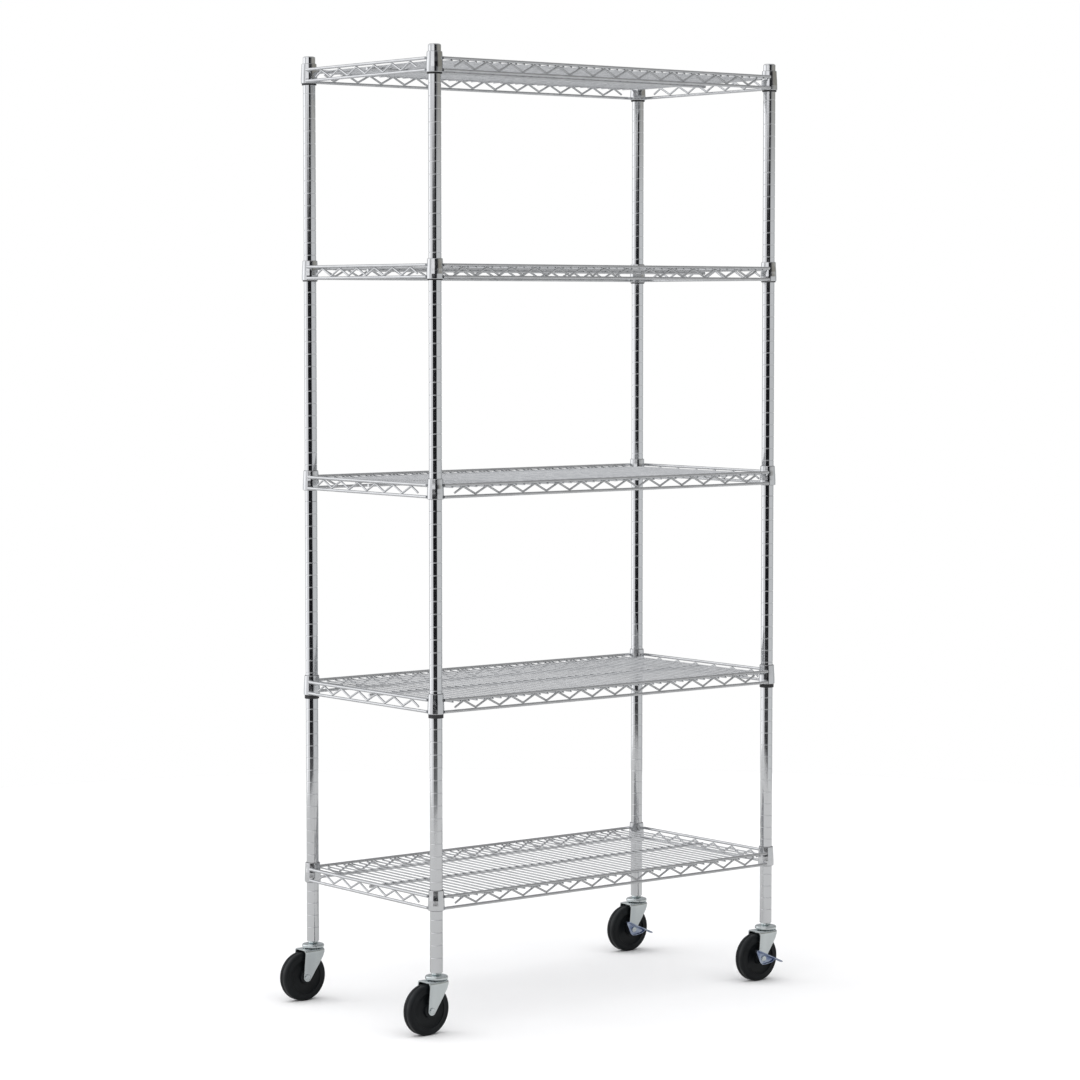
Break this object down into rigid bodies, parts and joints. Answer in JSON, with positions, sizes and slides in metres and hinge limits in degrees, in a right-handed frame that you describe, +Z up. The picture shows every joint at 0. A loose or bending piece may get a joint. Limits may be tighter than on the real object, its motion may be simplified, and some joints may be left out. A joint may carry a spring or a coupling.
{
  "type": "wire shelving rack",
  "caption": "Mobile wire shelving rack: grooved chrome posts carry adjustable welded wire shelves on split sleeves; swivel casters below, side brakes on one end.",
  "frame": {"origin": "on the floor under the middle of the rack's bounding box", "axes": "+X along the length towards the braked casters, +Y from front to back, +Z up along the posts"},
  "size_m": [0.9838, 0.4936, 1.9558],
  "materials": {
    "chrome": "bright plated",
    "wire": "plated wire",
    "black_plastic": "satin",
    "zinc": "bright zinc plate",
    "ball_steel": "greased",
    "brake_zinc": "blue zinc plate",
    "rubber": "hard satin"
  },
  "bodies": {
    "rack": {"upper_post_front_left": "chrome", "upper_post_front_right": "chrome", "upper_post_back_left": "chrome", "upper_post_back_right": "chrome", "lower_post_front_left": "chrome", "lower_post_front_right": "chrome", "lower_post_back_left": "chrome", "lower_post_back_right": "chrome", "post_caps": "chrome", "post_studs": "zinc", "post_nuts": "zinc", "sleeves_1": "black_plastic", "sleeves_2": "black_plastic", "sleeves_3": "black_plastic", "sleeves_4": "black_plastic", "sleeves_5": "black_plastic", "stem_front_left": "zinc", "stem_front_right": "zinc", "stem_back_left": "zinc", "stem_back_right": "zinc"},
    "shelf_1": {"collars_1": "wire", "frame_1": "wire", "zigzag_1": "wire", "deck_1": "wire"},
    "shelf_2": {"collars_2": "wire", "frame_2": "wire", "zigzag_2": "wire", "deck_2": "wire"},
    "shelf_3": {"collars_3": "wire", "frame_3": "wire", "zigzag_3": "wire", "deck_3": "wire"},
    "shelf_4": {"collars_4": "wire", "frame_4": "wire", "zigzag_4": "wire", "deck_4": "wire"},
    "shelf_5": {"collars_5": "wire", "frame_5": "wire", "zigzag_5": "wire", "deck_5": "wire"},
    "fork_front_left": {"fork_front_left": "zinc", "bearing_front_left": "ball_steel", "axle_front_left": "zinc"},
    "wheel_front_left": {"wheel_front_left": "rubber"},
    "fork_front_right": {"fork_front_right": "zinc", "bearing_front_right": "ball_steel", "axle_front_right": "zinc", "brake_cam_front_right": "brake_zinc"},
    "wheel_front_right": {"wheel_front_right": "rubber"},
    "lever_front_right": {"brake_lever_front_right": "brake_zinc"},
    "fork_back_left": {"fork_back_left": "zinc", "bearing_back_left": "ball_steel", "axle_back_left": "zinc"},
    "wheel_back_left": {"wheel_back_left": "rubber"},
    "fork_back_right": {"fork_back_right": "zinc", "bearing_back_right": "ball_steel", "axle_back_right": "zinc", "brake_cam_back_right": "brake_zinc"},
    "wheel_back_right": {"wheel_back_right": "rubber"},
    "lever_back_right": {"brake_lever_back_right": "brake_zinc"}
  },
  "joints": [
    {"name": "shelf_1_lift", "type": "slide", "parent": "rack", "child": "shelf_1", "axis": [0, 0, 1], "range_m": [0, 0.05]},
    {"name": "shelf_2_lift", "type": "slide", "parent": "rack", "child": "shelf_2", "axis": [0, 0, 1], "range_m": [0, 0.05]},
    {"name": "shelf_3_lift", "type": "slide", "parent": "rack", "child": "shelf_3", "axis": [0, 0, 1], "range_m": [0, 0.05]},
    {"name": "shelf_4_lift", "type": "slide", "parent": "rack", "child": "shelf_4", "axis": [0, 0, 1], "range_m": [0, 0.05]},
    {"name": "shelf_5_lift", "type": "slide", "parent": "rack", "child": "shelf_5", "axis": [0, 0, 1], "range_m": [0, 0.05]},
    {"name": "swivel_front_left", "type": "hinge", "parent": "rack", "child": "fork_front_left", "pos_m": [-0.4126, -0.20645, 0.11], "axis": [0, 0, 1], "continuous": true},
    {"name": "spin_front_left", "type": "hinge", "parent": "fork_front_left", "child": "wheel_front_left", "pos_m": [-0.43956, -0.20786, 0.0508], "axis": [-0.0523, 0.9986, 0], "continuous": true},
    {"name": "swivel_front_right", "type": "hinge", "parent": "rack", "child": "fork_front_right", "pos_m": [0.4694, -0.20645, 0.11], "axis": [0, 0, 1], "continuous": true},
    {"name": "spin_front_right", "type": "hinge", "parent": "fork_front_right", "child": "wheel_front_right", "pos_m": [0.4424, -0.20645, 0.0508], "axis": [0, 1, 0], "continuous": true},
    {"name": "brake_front_right", "type": "hinge", "parent": "fork_front_right", "child": "lever_front_right", "pos_m": [0.4424, -0.20645, 0.0508], "axis": [0, -1, 0], "range_deg": [0, 25]},
    {"name": "swivel_back_left", "type": "hinge", "parent": "rack", "child": "fork_back_left", "pos_m": [-0.4126, 0.22555, 0.11], "axis": [0, 0, 1], "continuous": true},
    {"name": "spin_back_left", "type": "hinge", "parent": "fork_back_left", "child": "wheel_back_left", "pos_m": [-0.4396, 0.22555, 0.0508], "axis": [0, 1, 0], "continuous": true},
    {"name": "swivel_back_right", "type": "hinge", "parent": "rack", "child": "fork_back_right", "pos_m": [0.4694, 0.22555, 0.11], "axis": [0, 0, 1], "continuous": true},
    {"name": "spin_back_right", "type": "hinge", "parent": "fork_back_right", "child": "wheel_back_right", "pos_m": [0.4424, 0.22555, 0.0508], "axis": [0, 1, 0], "continuous": true},
    {"name": "brake_back_right", "type": "hinge", "parent": "fork_back_right", "child": "lever_back_right", "pos_m": [0.4424, 0.22555, 0.0508], "axis": [0, -1, 0], "range_deg": [0, 25]}
  ]
}
